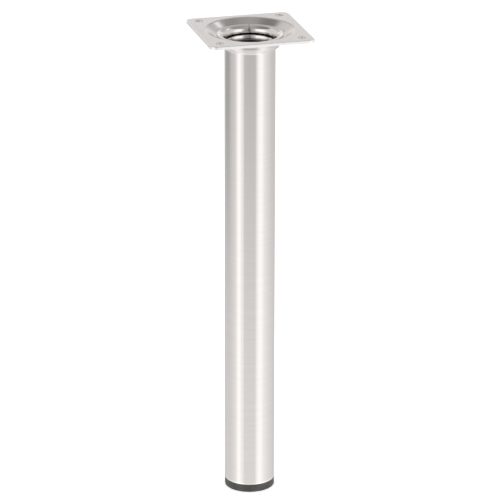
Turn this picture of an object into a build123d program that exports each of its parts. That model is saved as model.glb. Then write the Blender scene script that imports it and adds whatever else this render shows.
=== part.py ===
from build123d import *
import os
from math import cos, radians, sin, tan

# A fixed furniture leg that stands upright on its foot: a round steel tube
# with a square pressed mounting plate on top and a plastic cap below.
# The origin is at the middle of the foot's underside, on the tube's axis,
# and the sides of the plate run along X and Y.

# Overall sizes
leg_height = 288.0
foot_height = 5.0

# The tube
tube_diameter = 30.0
tube_wall = 1.0

# The square plate and its four screw holes
plate_side = 62.5
plate_thickness = 1.8
plate_corner_radius = 4.0
plate_edge_radius = 0.5
screw_margin = 6.75
screw_hole_diameter = 4.5
screw_head_diameter = 6.5
screw_head_angle = 90.0
screw_hole_lip = 0.35

# The round dish pressed into the plate: its sloping floor and its wall are
# measured outwards from the tube's neck, and depths down from the top face
dish_floor_width = 5.0
dish_wall_width = 5.2
dish_rim_radius = 2.5
dish_floor_depth = 3.25
dish_floor_bend = 3.0
seat_slope = 4.0
flat_band = 2.2

# The drawn collar that grips the swelled end of the tube
collar_swell = 1.0
collar_bend = 3.0
collar_depth = 9.2
collar_lip = 0.3
shoulder_top_depth = 8.0
shoulder_bottom_depth = 10.8
shoulder_bend = 2.5

# The flared rim of the tube that lies on the dish's floor
flare_width = 3.75
flare_edge_radius = 0.35

# The weld seam, a shallow groove inside the tube's flare and neck; further
# down the seam is ground flush
seam_angle = 75.0
seam_width_angle = 4.5
seam_depth = 0.3
seam_end_depth = 24.0

# The foot cap: a flush base below a ribbed spigot inside the tube
foot_edge_radius = 0.8
foot_joint_chamfer = 0.25
foot_floor = 3.0
spigot_height = 15.0
spigot_clearance = 0.6
spigot_wall = 1.8
spigot_lead_in = 0.8
rib_count = 3
rib_height = 1.4
rib_pitch = 4.2
rib_first_gap = 2.0

# Lengths that follow from the sizes above
tube_radius = tube_diameter / 2
bore_radius = tube_radius - tube_wall
neck_radius = tube_radius + collar_swell
flare_radius = neck_radius + flare_width
dish_floor_radius = neck_radius + dish_floor_width
dish_radius = dish_floor_radius + dish_wall_width
screw_spacing = plate_side - 2 * screw_margin
plate_top = leg_height
plate_under = leg_height - plate_thickness
formed_radius = dish_radius + flat_band
seat_fall = tan(radians(seat_slope))
seat_foot_depth = dish_floor_depth + dish_floor_width * seat_fall
flare_depth = seat_foot_depth - flare_width * seat_fall
shoulder_fall = shoulder_bottom_depth - shoulder_top_depth
collar_share = (collar_depth - shoulder_top_depth) / shoulder_fall
collar_end_radius = neck_radius - collar_swell * collar_share
spigot_radius = bore_radius - spigot_clearance
spigot_inner = spigot_radius - spigot_wall
spigot_top = foot_height + spigot_height

# The seam's groove starts half its width before the seam's direction
seam_start = radians(seam_angle - seam_width_angle / 2)
seam_x = (cos(seam_start), sin(seam_start), 0)
seam_z = (sin(seam_start), -cos(seam_start), 0)

# The groove is what lies between two skins, both measured from the outside
seam_skins = [
    (tube_wall + seam_depth, Mode.ADD),
    (tube_wall - seam_depth, Mode.SUBTRACT),
]

# Points of the formed sheet's upper skin, then of the tube's outer skin
flat_end = (formed_radius, plate_top)
dish_rim = (dish_radius, plate_top)
dish_floor = (dish_floor_radius, plate_top - dish_floor_depth)
seat_foot = (neck_radius, plate_top - seat_foot_depth)
shoulder_top = (neck_radius, plate_top - shoulder_top_depth)
collar_end = (collar_end_radius, plate_top - collar_depth)
flare_end = (flare_radius, plate_top - flare_depth)
shoulder_bottom = (tube_radius, plate_top - shoulder_bottom_depth)
tube_end = (tube_radius, foot_height)
seam_end = (tube_radius, plate_top - seam_end_depth)

os.makedirs("parts", exist_ok=True)

# The square plate, open in the middle where the sheet is pressed
with BuildPart() as mounting_plate:
    with BuildSketch(Plane.XY.offset(plate_under)):
        RectangleRounded(plate_side, plate_side, plate_corner_radius)
        Circle(formed_radius, mode=Mode.SUBTRACT)
    extrude(amount=plate_thickness)
    # The pressed middle keeps one sheet thickness all the way: rim, wall,
    # sloping floor and the collar that grips the tube
    with BuildSketch(Plane.XZ) as sheet:
        with BuildLine():
            FilletPolyline(
                flat_end, dish_rim, dish_floor, seat_foot, shoulder_top, collar_end,
                radius=[dish_rim_radius, dish_floor_bend, collar_bend, shoulder_bend],
            )
            offset(amount=plate_thickness, side=Side.LEFT)
        make_face()
    revolve(axis=Axis.Z)
    # The lower end of the collar is rounded on the outside
    lip = mounting_plate.edges().filter_by(GeomType.CIRCLE).sort_by(Axis.Z)[0]
    fillet(lip, radius=collar_lip)
    # The punched sheet has a rounded upper edge all round its outline
    top_face = mounting_plate.faces().filter_by(Plane.XY).sort_by(Axis.Z)[-1]
    fillet(top_face.outer_wire().edges(), radius=plate_edge_radius)
    # Four screw holes, countersunk from below where the screw heads sit
    with Locations(Plane.XY.offset(plate_under).rotated((180, 0, 0))):
        with GridLocations(screw_spacing, screw_spacing, 2, 2):
            CounterSinkHole(
                radius=screw_hole_diameter / 2,
                counter_sink_radius=screw_head_diameter / 2,
                depth=plate_thickness,
                counter_sink_angle=screw_head_angle,
            )
    # Each hole has a rounded lip on the side that meets the furniture
    top_face = mounting_plate.faces().filter_by(Plane.XY).sort_by(Axis.Z)[-1]
    hole_rims = top_face.inner_wires().edges().filter_by(
        lambda rim: rim.geom_type == GeomType.CIRCLE and rim.radius < screw_hole_diameter
    )
    fillet(hole_rims, radius=screw_hole_lip)
mounting_plate.part.label = "mounting_plate"
export_step(mounting_plate.part, "parts/mounting_plate.step")

# The tube: its upper end is swelled, passes through the collar and is flared
# out over the dish's floor, which locks the plate on
with BuildPart() as leg_tube:
    with BuildSketch(Plane.XZ):
        with BuildLine():
            FilletPolyline(
                flare_end, seat_foot, shoulder_top, shoulder_bottom, tube_end,
                radius=[collar_bend, shoulder_bend, shoulder_bend],
            )
            offset(amount=tube_wall, side=Side.RIGHT)
        make_face()
    revolve(axis=Axis.Z)
    # The flare's upper edge is softened
    flare_ring = leg_tube.edges().filter_by(GeomType.CIRCLE).sort_by(Axis.Z)[-1]
    fillet(flare_ring, radius=flare_edge_radius)
    # The weld seam is a shallow groove over the flare and down the neck
    with BuildSketch(Plane(origin=(0, 0, 0), x_dir=seam_x, z_dir=seam_z)):
        for skin_depth, skin_mode in seam_skins:
            with BuildLine():
                FilletPolyline(
                    flare_end, seat_foot, shoulder_top, shoulder_bottom, seam_end,
                    radius=[collar_bend, shoulder_bend, shoulder_bend],
                )
                offset(amount=skin_depth, side=Side.RIGHT)
            make_face(mode=skin_mode)
    revolve(axis=Axis.Z, revolution_arc=seam_width_angle, mode=Mode.SUBTRACT)
leg_tube.part.label = "leg_tube"
export_step(leg_tube.part, "parts/leg_tube.step")

# The foot cap: a base flush with the tube and a hollow ribbed spigot
with BuildPart() as foot_cap:
    with BuildSketch():
        Circle(tube_radius)
    extrude(amount=foot_height)
    base_rings = foot_cap.edges().filter_by(GeomType.CIRCLE).sort_by(Axis.Z)
    fillet(base_rings[0], radius=foot_edge_radius)
    chamfer(base_rings[-1], length=foot_joint_chamfer)
    with BuildSketch(Plane.XY.offset(foot_height)):
        Circle(spigot_radius)
    extrude(amount=spigot_height)
    lead_ring = foot_cap.edges().filter_by(GeomType.CIRCLE).sort_by(Axis.Z)[-1]
    chamfer(lead_ring, length=spigot_lead_in)
    # Grip ribs press against the tube's bore
    for rib in range(rib_count):
        rib_base = foot_height + rib_first_gap + rib * rib_pitch
        with BuildSketch(Plane.XY.offset(rib_base)):
            Circle(bore_radius)
        extrude(amount=rib_height)
    with BuildSketch(Plane.XY.offset(foot_floor)):
        Circle(spigot_inner)
    extrude(amount=spigot_top - foot_floor, mode=Mode.SUBTRACT)
foot_cap.part.label = "foot_cap"
export_step(foot_cap.part, "parts/foot_cap.step")

for piece in (mounting_plate, leg_tube, foot_cap):
    box = piece.part.bounding_box()
    print(piece.part.label, "solids", len(piece.part.solids()), "volume", piece.part.volume)
    print(piece.part.label, "from", box.min, "to", box.max)
print("screw pattern", screw_spacing, "dish diameter", dish_radius * 2)
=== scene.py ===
# %% [markdown]
# This lesson dresses a fixed furniture leg: a brushed steel tube with a square
# mounting plate on top and a black plastic cap at its foot.
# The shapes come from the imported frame, so this file gives them their
# finishes, a studio to reflect, and a camera.

# %% Load the frame
import math

import bmesh
import bpy
from mathutils import Matrix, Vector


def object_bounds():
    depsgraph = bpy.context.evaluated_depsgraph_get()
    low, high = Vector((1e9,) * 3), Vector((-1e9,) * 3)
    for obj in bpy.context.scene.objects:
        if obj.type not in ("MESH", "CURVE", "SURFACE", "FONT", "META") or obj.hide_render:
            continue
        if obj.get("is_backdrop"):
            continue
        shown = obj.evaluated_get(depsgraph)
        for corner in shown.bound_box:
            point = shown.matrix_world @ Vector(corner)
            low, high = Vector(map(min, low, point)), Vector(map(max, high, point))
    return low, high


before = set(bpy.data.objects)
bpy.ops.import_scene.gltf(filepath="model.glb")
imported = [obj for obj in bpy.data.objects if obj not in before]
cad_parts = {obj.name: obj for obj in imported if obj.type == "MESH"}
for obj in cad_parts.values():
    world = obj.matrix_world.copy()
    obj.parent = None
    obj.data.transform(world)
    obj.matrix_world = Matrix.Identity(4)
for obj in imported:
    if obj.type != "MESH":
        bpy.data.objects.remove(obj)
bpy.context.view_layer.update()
print("nodes", sorted(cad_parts))

# %% [markdown]
# The camera stands in front of the leg and a little to its left, so the plate
# is seen turned by 15 degrees, and it looks down by about 20 degrees.
# A long lens keeps the tube's sides almost parallel, as in a catalogue photo.
# It leans by a twelfth of a degree, as a camera on a tripod easily does.
# The plain "Standard" view keeps a white room white.

# %% Camera
DEGREE = math.radians(1.0)
TURN = 15.06 * DEGREE
LOOK_DOWN = 19.84 * DEGREE
LEAN = 0.08 * DEGREE
PAN = 0.005 * DEGREE
CAMERA_DISTANCE = 1.873
CAMERA_HEIGHT = 0.827
camera_data = bpy.data.cameras.new("studio_camera")
camera_data.sensor_width = 36.0
camera_data.lens = 240.2
camera = bpy.data.objects.new("studio_camera", camera_data)
camera.location = (
    -CAMERA_DISTANCE * math.sin(TURN), -CAMERA_DISTANCE * math.cos(TURN), CAMERA_HEIGHT
)
aim = Matrix.Rotation(-TURN - PAN, 3, "Z") @ Matrix.Rotation(math.pi / 2 - LOOK_DOWN, 3, "X")
camera.rotation_euler = (aim @ Matrix.Rotation(LEAN, 3, "Z")).to_euler()
bpy.context.collection.objects.link(camera)
bpy.context.scene.camera = camera
bpy.context.scene.view_settings.view_transform = "Standard"
print("camera at", [round(v, 3) for v in camera.location])

# %% [markdown]
# Node trees are easier to read when each one is built by small helpers.
# `feed` gives a socket a value or joins another node's output to it, `add_node`
# makes a node and feeds it, and `math_node` does a sum.
# `smooth_step` turns a measure into a share that goes softly from one number to
# another, and `blend_values` uses such a share to pass from one level to the next.

# %% Helpers for node trees
def feed(tree, socket, value):
    if isinstance(value, bpy.types.NodeSocket):
        tree.links.new(value, socket)
    else:
        socket.default_value = value


def add_node(tree, kind, settings=None, **inputs):
    node = tree.nodes.new(kind)
    for name, value in (settings or {}).items():
        setattr(node, name, value)
    for name, value in inputs.items():
        feed(tree, node.inputs[name.replace("_", " ")], value)
    return node


def math_node(tree, operation, *values):
    node = add_node(tree, "ShaderNodeMath", {"operation": operation})
    for socket, value in zip(node.inputs, values):
        feed(tree, socket, value)
    return node.outputs[0]


def smooth_step(tree, value, low, high, start=0.0, end=1.0):
    node = add_node(tree, "ShaderNodeMapRange", {"interpolation_type": "SMOOTHSTEP"})
    for socket, number in zip(node.inputs, (value, low, high, start, end)):
        feed(tree, socket, number)
    return node.outputs[0]


def blend_values(tree, share, first, second):
    node = add_node(tree, "ShaderNodeMix", {"data_type": "FLOAT"})
    for place, value in ((0, share), (2, first), (3, second)):
        feed(tree, node.inputs[place], value)
    return node.outputs[0]


helpers = (feed, add_node, math_node, smooth_step, blend_values)
print("helpers", [helper.__name__ for helper in helpers])

# %% [markdown]
# Polished and brushed steel has hardly any colour of its own: what we see is
# the room in it. Two softboxes stand left and right of the camera, and the
# gap between them is the grey band in the middle of the tube.
# The room is painted on the world by direction. `around` is the direction's
# angle from the camera, `height` its angle above the horizon.

# %% Studio painted on the world
world = bpy.data.worlds.new("studio_world")
bpy.context.scene.world = world
world.use_nodes = True
sky = world.node_tree
sky.nodes.clear()
coords = add_node(sky, "ShaderNodeTexCoord")
turned = add_node(
    sky, "ShaderNodeMapping", {"vector_type": "POINT"},
    Vector=coords.outputs["Generated"], Rotation=(0.0, 0.0, TURN),
)
east, north, up = add_node(sky, "ShaderNodeSeparateXYZ", Vector=turned.outputs[0]).outputs
south = math_node(sky, "MULTIPLY", north, -1.0)
around = math_node(sky, "ARCTAN2", east, south)
height = math_node(sky, "ARCSINE", up)
turn_share = math_node(sky, "MULTIPLY_ADD", around, 0.5 / math.pi, 0.5)
print("camera turned", round(TURN / DEGREE, 2), "degrees from the plate's side")

# %% [markdown]
# A ring is one height of the room, all the way round. It is written as pairs of
# an angle in degrees and the level there: 0 is straight towards the camera, minus
# is to its left, and 180 is behind the leg. Levels over 1 are softboxes.

# %% Rings of the room
def room_ring(name, stops):
    node = add_node(sky, "ShaderNodeValToRGB", Fac=turn_share)
    marks = node.color_ramp.elements
    while len(marks) < len(stops):
        marks.new(1.0)
    for mark, (turn, level) in zip(marks, stops):
        mark.position = (turn + 180.0) / 360.0
        mark.color = (level, level, level, 1.0)
    print(name, "has", len(stops), "levels")
    return node.outputs[0]


# %% [markdown]
# The upright tube is seen from above, so it mirrors what lies below the
# horizon: the table top with the softboxes' light on it. Near the leg its middle
# is pale and farther out it is grey, so the band down the tube is darkest at the
# top. The two rings together make that change.

# %% Table top
near_table = room_ring("near table", [
    (-180, 0.55), (-130, 0.85), (-95, 0.90), (-70, 1.05), (-52, 1.40), (-42, 1.34),
    (-40, 1.12), (-30, 1.25), (-28, 1.00), (27, 1.00), (30, 1.20), (50, 1.40),
    (70, 1.15), (95, 1.00), (130, 0.85), (180, 0.55),
])
far_table = room_ring("far table", [
    (-180, 0.62), (-157, 0.70), (-130, 0.38), (-108, 0.40), (-95, 0.62), (-70, 0.72),
    (-60, 1.12), (-52, 1.40), (-42, 1.34), (-40, 1.05), (-29, 1.02), (-27, 0.55),
    (26, 0.55), (30, 0.85), (38, 1.20), (50, 1.38), (62, 1.25), (72, 1.00),
    (95, 0.85), (115, 0.73), (150, 0.68), (180, 0.56),
])

# %% [markdown]
# The flat plate mirrors the back wall a little above the horizon, and the dish's
# curved walls reach up to the two softboxes and the dark ceiling.

# %% Walls and ceiling
wall_ring = room_ring("wall", [
    (-180, 1.00), (-165, 1.00), (-150, 0.88), (-90, 0.83), (-62, 1.34), (-31, 1.34),
    (-22, 0.80), (-12, 0.45), (-2, 0.24), (8, 0.22), (16, 0.30), (25, 0.47),
    (34, 0.90), (40, 1.34), (62, 1.34), (90, 0.83), (150, 0.83), (165, 0.97),
    (180, 1.00),
])
high_ring = room_ring("high wall", [
    (-180, 0.52), (-165, 0.60), (-150, 0.85), (-128, 0.85), (-90, 0.83), (-62, 1.34),
    (-31, 1.34), (-24, 0.85), (-12, 0.48), (-2, 0.28), (8, 0.27), (16, 0.36),
    (26, 0.50), (35, 0.95), (40, 1.34), (62, 1.34), (90, 0.83), (128, 0.80),
    (150, 0.65), (165, 0.55), (180, 0.52),
])
ceiling_ring = room_ring("ceiling", [
    (-180, 0.55), (-150, 0.42), (-133, 0.24), (-112, 0.26), (-90, 0.25), (-36, 0.45),
    (36, 0.45), (90, 0.38), (115, 0.40), (133, 0.36), (180, 0.55),
])

# %% [markdown]
# The room has six zones: the five rings and, straight overhead, one even level.
# Going up from the near table, each zone takes over from the one below it
# between two heights, given in degrees.

# %% Zones blended by height
OVERHEAD_LEVEL = 0.47
next_zones = (
    (-21.0, -16.5, far_table),
    (-12.0, 0.0, wall_ring),
    (17.0, 26.0, high_ring),
    (44.0, 52.0, ceiling_ring),
    (66.0, 84.0, OVERHEAD_LEVEL),
)
whole_room = near_table
for starts, complete, zone in next_zones:
    zone_share = smooth_step(sky, height, starts * DEGREE, complete * DEGREE)
    whole_room = blend_values(sky, zone_share, whole_room, zone)
print("zones of the room", len(next_zones) + 1)

# %% [markdown]
# One small lamp behind the leg, on the right, makes the glint in the dish. It is
# a soft round spot: the nearer a direction is to the lamp's, the brighter.

# %% Small lamp
LAMP_TURN = 142.7 * DEGREE
LAMP_HEIGHT = 41.6 * DEGREE
LAMP_EDGE = 4.5 * DEGREE
LAMP_CORE = 2.5 * DEGREE
LAMP_LEVEL = 1.1
lamp_direction = (
    math.cos(LAMP_HEIGHT) * math.sin(LAMP_TURN),
    -math.cos(LAMP_HEIGHT) * math.cos(LAMP_TURN),
    math.sin(LAMP_HEIGHT),
)
towards_lamp = add_node(sky, "ShaderNodeVectorMath", {"operation": "DOT_PRODUCT"})
for socket, vector in zip(towards_lamp.inputs, (turned.outputs[0], lamp_direction)):
    feed(sky, socket, vector)
lamp_share = smooth_step(
    sky, towards_lamp.outputs["Value"], math.cos(LAMP_EDGE), math.cos(LAMP_CORE), 0.0, LAMP_LEVEL
)
room_level = math_node(sky, "ADD", whole_room, lamp_share)
print("lamp towards", [round(v, 3) for v in lamp_direction])

# %% [markdown]
# What a ray is used for decides what it sees: mirror rays see the painted room,
# the camera sees plain white, and matt surfaces get an even soft light.
# Such a world can't be sampled as a lamp, so that sampling is off.

# %% What each ray sees
WHITE = (1.0, 1.0, 1.0, 1.0)
SOFT_LIGHT = 0.5
mirrored = add_node(sky, "ShaderNodeBackground", Color=room_level, Strength=1.0)
even_light = add_node(sky, "ShaderNodeBackground", Color=WHITE, Strength=SOFT_LIGHT)
white_wall = add_node(sky, "ShaderNodeBackground", Color=WHITE, Strength=1.0)
ray = add_node(sky, "ShaderNodeLightPath")
mirror_ray = math_node(
    sky, "MAXIMUM", ray.outputs["Is Glossy Ray"], ray.outputs["Is Transmission Ray"]
)


def mix_shaders(tree, share, first, second):
    node = add_node(tree, "ShaderNodeMixShader")
    for socket, value in zip(node.inputs, (share, first.outputs[0], second.outputs[0])):
        feed(tree, socket, value)
    return node


by_surface = mix_shaders(sky, mirror_ray, even_light, mirrored)
by_ray = mix_shaders(sky, ray.outputs["Is Camera Ray"], by_surface, white_wall)
add_node(sky, "ShaderNodeOutputWorld", Surface=by_ray.outputs[0])
world.cycles.sampling_method = "NONE"
print("soft light on matt surfaces", SOFT_LIGHT)

# %% [markdown]
# The floor is a plain pale sheet. It catches the leg's soft shadow, and a little
# light of its own, seen by the camera only, brings the open floor up to white.

# %% Floor
FLOOR_HALF = 4.0
FLOOR_GLOW = 0.25
floor_mesh = bpy.data.meshes.new("pale_floor")
shape = bmesh.new()
bmesh.ops.create_grid(shape, x_segments=1, y_segments=1, size=FLOOR_HALF)
shape.to_mesh(floor_mesh)
shape.free()
floor = bpy.data.objects.new("pale_floor", floor_mesh)
bpy.context.collection.objects.link(floor)
floor.visible_glossy = False

floor_paint = bpy.data.materials.new("pale_floor")
floor_paint.use_nodes = True
tree = floor_paint.node_tree
tree.nodes.clear()
matt = add_node(tree, "ShaderNodeBsdfDiffuse", Color=(0.85, 0.85, 0.85, 1.0))
floor_ray = add_node(tree, "ShaderNodeLightPath")
lift = math_node(tree, "MULTIPLY", floor_ray.outputs["Is Camera Ray"], FLOOR_GLOW)
glow = add_node(tree, "ShaderNodeEmission", Color=WHITE, Strength=lift)
both = add_node(tree, "ShaderNodeAddShader")
for socket, light in zip(both.inputs, (matt, glow)):
    feed(tree, socket, light.outputs[0])
add_node(tree, "ShaderNodeOutputMaterial", Surface=both.outputs[0])
floor_mesh.materials.append(floor_paint)
floor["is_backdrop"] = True
print("floor side", 2 * FLOOR_HALF)

# %% [markdown]
# Three large area lamps light the matt surfaces: one each side of the camera
# and one overhead. The mirror rays don't see them, because the room has its own.

# %% Soft lamps
LAMPS = {
    "left_softbox": ((-1.1, -0.9, 0.9), 0.9, 14.0),
    "right_softbox": ((0.8, -1.2, 0.9), 0.9, 12.0),
    "top_softbox": ((0.1, 0.5, 1.6), 1.2, 16.0),
}
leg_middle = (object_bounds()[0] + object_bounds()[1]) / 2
for name, (place, side, power) in LAMPS.items():
    lamp_data = bpy.data.lights.new(name, "AREA")
    lamp_data.shape = "SQUARE"
    lamp_data.size = side
    lamp_data.energy = power
    lamp = bpy.data.objects.new(name, lamp_data)
    lamp.location = place
    lamp.rotation_euler = (leg_middle - lamp.location).to_track_quat("-Z", "Y").to_euler()
    lamp.visible_glossy = False
    bpy.context.collection.objects.link(lamp)
    print(name, "power", power)

# %% [markdown]
# A finish starts as a plain shader. `new_finish` makes the material with its
# shader and the Object coordinates that every pattern reads. Those belong to the
# piece, so a pattern stays where it is when the leg or the camera turns.
# `blend_colours` lays one colour over another, and `dress` puts the finish on.

# %% Start of a finish
def new_finish(name, **numbers):
    material = bpy.data.materials.new(name)
    material.use_nodes = True
    made = material.node_tree
    made.nodes.clear()
    shader = add_node(made, "ShaderNodeBsdfPrincipled", **numbers)
    add_node(made, "ShaderNodeOutputMaterial", Surface=shader.outputs[0])
    place = add_node(made, "ShaderNodeTexCoord").outputs["Object"]
    return material, made, shader, place


def grain(tree, place, stretch, detail=3.0):
    spread = add_node(tree, "ShaderNodeMapping", Vector=place, Scale=stretch)
    noise = add_node(
        tree, "ShaderNodeTexNoise", Vector=spread.outputs[0], Scale=1.0, Detail=detail
    )
    return noise.outputs[0]


def blend_colours(tree, share, first, second):
    node = add_node(tree, "ShaderNodeMix", {"data_type": "RGBA"})
    feed(tree, node.inputs[0], share)
    for socket, colour in zip(node.inputs[6:8], (first, second)):
        plain = not isinstance(colour, bpy.types.NodeSocket)
        feed(tree, socket, (*colour, 1.0) if plain else colour)
    return node.outputs[2]


def product(tree, first, *others):
    for other in others:
        first = math_node(tree, "MULTIPLY", first, other)
    return first


def far_from_axis(tree, first, second):
    squares = math_node(tree, "MULTIPLY_ADD", first, first, product(tree, second, second))
    return math_node(tree, "SQRT", squares)


def dress(node_name, material):
    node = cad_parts[node_name]
    for place in node.material_slots:
        place.material = material
    print(node_name, "wears", material.name, "on", len(node.material_slots), "slot")


helpers = (new_finish, grain, blend_colours, product, far_from_axis, dress)
print("helpers", [helper.__name__ for helper in helpers])

# %% [markdown]
# The tube is ground on a belt while it turns, so its scratches run round it.
# Such a grain blurs reflections up and down but leaves the upright edges of the
# softboxes sharp. The shader's anisotropy, turned a quarter from the direction
# round the tube, does the same. Noise drawn out round the tube adds the lines.

# %% Belt grain of the tube
FINE_LINES = (60.0, 60.0, 5200.0)
BROAD_LINES = (25.0, 25.0, 700.0)
brushed, tree, shader, place = new_finish(
    "brushed_tube", Metallic=1.0, Anisotropic=0.5, Anisotropic_Rotation=0.25
)
round_tube = add_node(tree, "ShaderNodeTangent", {"direction_type": "RADIAL", "axis": "Z"})
feed(tree, shader.inputs["Tangent"], round_tube.outputs[0])
fine_lines = grain(tree, place, FINE_LINES)
broad_lines = grain(tree, place, BROAD_LINES)
both_lines = math_node(
    tree, "MULTIPLY_ADD", broad_lines, 0.35, math_node(tree, "MULTIPLY", fine_lines, 0.65)
)
steel = blend_colours(
    tree, smooth_step(tree, both_lines, 0.30, 0.70), (0.722, 0.690, 0.669), (0.748, 0.716, 0.694)
)
print("fine and broad belt lines per metre of tube", FINE_LINES[2], BROAD_LINES[2])

# %% [markdown]
# A spinning tool swells the tube's end and rolls it out over the dish. It rubs
# the steel smooth, so the flare and the neck's inside shine more than the tube.
# Radii are measured from the tube's axis and levels from the floor, in metres.

# %% Burnished end
BURNISHED_FROM = 0.2785
side, depth, level = add_node(tree, "ShaderNodeSeparateXYZ", Vector=place).outputs
from_axis = far_from_axis(tree, side, depth)
in_bore = smooth_step(tree, from_axis, 0.0145, 0.0147, 1.0, 0.0)
in_flare = smooth_step(tree, level, BURNISHED_FROM, 0.2790)
burnished = math_node(tree, "MAXIMUM", in_bore, in_flare)
print("burnished from level", BURNISHED_FROM)

# %% [markdown]
# The tube is rolled from strip and welded, and its seam shows as a groove over
# the flare. One side of the groove looks dark, most of all in the bend. The mark
# is a narrow strip beside a line from the axis, kept to the side where the seam
# is.

# %% Weld seam
SEAM = 76.7 * DEGREE
beside_seam = math_node(
    tree, "MULTIPLY_ADD", side, math.sin(SEAM), math_node(tree, "MULTIPLY", depth, -math.cos(SEAM))
)
seam_width = smooth_step(
    tree, math_node(tree, "ABSOLUTE", beside_seam), 0.0003, 0.0007, 1.0, 0.0
)
seam_half = smooth_step(tree, depth, 0.0, 0.001)
seam_depth = smooth_step(tree, level, 0.2840, 0.2850, 0.80, 0.30)
seam_end = smooth_step(tree, level, 0.2812, 0.2824)
seam_share = product(tree, seam_width, seam_half, burnished, seam_depth, seam_end)
steel = blend_colours(tree, seam_share, steel, (0.30, 0.28, 0.27))
print("seam at", round(SEAM / DEGREE, 1), "degrees")

# %% [markdown]
# The tool reaches about halfway down the neck's shoulder. Below that level the bore is painted
# dark: painted shade for the deep inside of the tube, where little light reaches. A step in the
# colour at that level does this, and the place of the step is a guess from the picture.

# %% Painted shade in the bore
BORE_SHADE_BELOW = 0.2792
inner_wall = smooth_step(tree, from_axis, 0.0147, 0.0149, 1.0, 0.0)
below_burnish = smooth_step(tree, level, 0.2781, BORE_SHADE_BELOW, 1.0, 0.0)
painted_bore_shade = math_node(tree, "MULTIPLY", inner_wall, below_burnish)
# The dark colour here is painted shade inside the bore.
steel = blend_colours(tree, painted_bore_shade, steel, (0.19, 0.18, 0.175))
print("bore shaded below level", BORE_SHADE_BELOW)

# %% [markdown]
# The tube's lower end is cut and deburred, which leaves a thin bright ring just above the cap,
# rougher than the belt's grain. Its brightness is a painted highlight: the ring's colour is made
# pale to stand in for the light its deburred edge catches.

# %% Foot ring with a painted highlight
RING_TOP = 0.0064
foot_ring_and_painted_highlight = smooth_step(tree, level, 0.0055, RING_TOP, 1.0, 0.0)
# The pale colour here is a painted highlight on the deburred ring.
steel = blend_colours(tree, foot_ring_and_painted_highlight, steel, (0.90, 0.88, 0.86))
print("foot ring up to level", RING_TOP)

# %% [markdown]
# Last, the tube gets its blur: the belt's grain on the outside, less where it is
# burnished and more on the foot ring. The fine lines also stand up a little.

# %% Brushed tube
belt_blur = smooth_step(tree, both_lines, 0.30, 0.70, 0.19, 0.15)
tube_blur = blend_values(tree, burnished, belt_blur, 0.10)
feed(tree, shader.inputs["Base Color"], steel)
feed(tree, shader.inputs["Roughness"], blend_values(tree, foot_ring_and_painted_highlight, tube_blur, 0.30))
scratches = add_node(
    tree, "ShaderNodeBump", Strength=0.03, Distance=0.00005, Height=fine_lines
)
feed(tree, shader.inputs["Normal"], scratches.outputs[0])
dress("leg_tube", brushed)

# %% [markdown]
# The plate is pressed from sheet and tumbled, so it has a satin surface with no
# direction. Two noises vary its tone and its blur a little.

# %% Satin sheet
CLOUDS = (90.0, 90.0, 90.0)
SPECKS = (3200.0, 3200.0, 3200.0)
satin, tree, shader, place = new_finish("satin_plate", Metallic=1.0)
clouds = grain(tree, place, CLOUDS, 4.0)
specks = grain(tree, place, SPECKS, 2.0)
mottle = math_node(
    tree, "MULTIPLY_ADD", specks, 0.5, math_node(tree, "MULTIPLY", clouds, 0.5)
)
sheet_steel = blend_colours(
    tree, smooth_step(tree, mottle, 0.35, 0.65), (0.655, 0.618, 0.598), (0.695, 0.656, 0.635)
)
print("clouds and specks per metre of sheet", CLOUDS[0], SPECKS[0])

# %% [markdown]
# The edge all round is sheared metal, rougher than the faces. Its brightness is a painted
# highlight: the edge's colour is made paler than the faces to stand in for the light the edge
# catches. The plate is a square with round corners, so the edge is found by how far a point lies
# outside the square that joins the corners' middles.

# %% Cut edge of the plate, with a painted highlight
CORNER_MIDDLE = 0.02725
side, depth = add_node(tree, "ShaderNodeSeparateXYZ", Vector=place).outputs[:2]
past_side, past_depth = (
    math_node(
        tree, "MAXIMUM",
        math_node(tree, "SUBTRACT", math_node(tree, "ABSOLUTE", way), CORNER_MIDDLE), 0.0,
    )
    for way in (side, depth)
)
cut_edge_and_painted_highlight = smooth_step(tree, far_from_axis(tree, past_side, past_depth), 0.00345, 0.0036)
# The pale colour here is a painted highlight on the sheared edge.
sheet_steel = blend_colours(tree, cut_edge_and_painted_highlight, sheet_steel, (0.91, 0.89, 0.88))
print("middle of each round corner at", CORNER_MIDDLE)

# %% [markdown]
# The plate is put together: the clouds vary the blur of its faces, the cut edge
# is rougher, and the specks give the skin of tumbled metal.

# %% Satin plate
face_blur = smooth_step(tree, clouds, 0.3, 0.7, 0.19, 0.24)
feed(tree, shader.inputs["Base Color"], sheet_steel)
feed(tree, shader.inputs["Roughness"], blend_values(tree, cut_edge_and_painted_highlight, face_blur, 0.45))
orange_peel = add_node(
    tree, "ShaderNodeBump", Strength=0.05, Distance=0.00005, Height=specks
)
feed(tree, shader.inputs["Normal"], orange_peel.outputs[0])
dress("mounting_plate", satin)

# %% [markdown]
# The cap is moulded in black plastic. The mould is spark eroded, which leaves
# fine even grains, so the surface is matt, and smoother and a little paler where
# hands have rubbed it.

# %% Black plastic cap
MOULD_GRAIN = (2400.0, 2400.0, 2400.0)
HANDLING = (140.0, 140.0, 140.0)
plastic, tree, shader, place = new_finish("black_plastic", Metallic=0.0)
mould_grain = grain(tree, place, MOULD_GRAIN, 2.0)
handling = grain(tree, place, HANDLING)
black = blend_colours(
    tree, smooth_step(tree, handling, 0.35, 0.65), (0.040, 0.039, 0.037), (0.052, 0.051, 0.048)
)
feed(tree, shader.inputs["Base Color"], black)
feed(tree, shader.inputs["Roughness"], smooth_step(tree, handling, 0.3, 0.7, 0.60, 0.48))
pitted = add_node(
    tree, "ShaderNodeBump", Strength=0.25, Distance=0.00006, Height=mould_grain
)
feed(tree, shader.inputs["Normal"], pitted.outputs[0])
dress("foot_cap", plastic)
